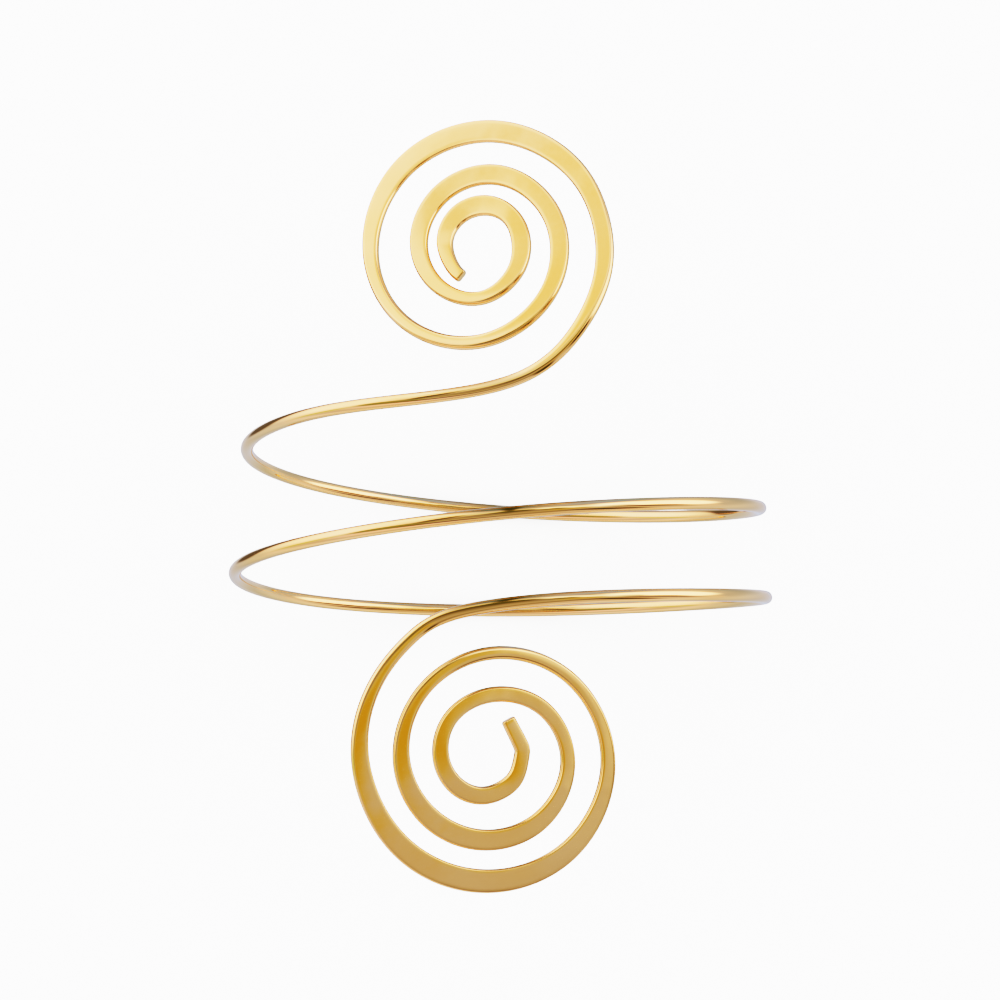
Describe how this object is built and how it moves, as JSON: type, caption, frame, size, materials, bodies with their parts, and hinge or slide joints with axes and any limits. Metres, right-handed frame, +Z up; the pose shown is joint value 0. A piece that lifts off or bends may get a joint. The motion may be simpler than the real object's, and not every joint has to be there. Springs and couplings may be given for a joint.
{
  "type": "spiral cuff bangle",
  "caption": "Upper-arm cuff bent from one gold-coloured round wire: an open oval coil round the arm, with each end hammered flat and wound into a wide flat spiral.",
  "frame": {"origin": "middle of the bottom of the cuff's box, on the surface that it lies on", "axes": "+Z up from the back of the coil to the spirals, +Y along the arm towards the first spiral, +X across the arm"},
  "size_m": [0.084, 0.1168, 0.0642],
  "materials": {
    "gold_wire": "polished gold plate, hammered flat at both ends"
  },
  "bodies": {
    "root": {"armlet_wire": "gold_wire"}
  },
  "joints": []
}
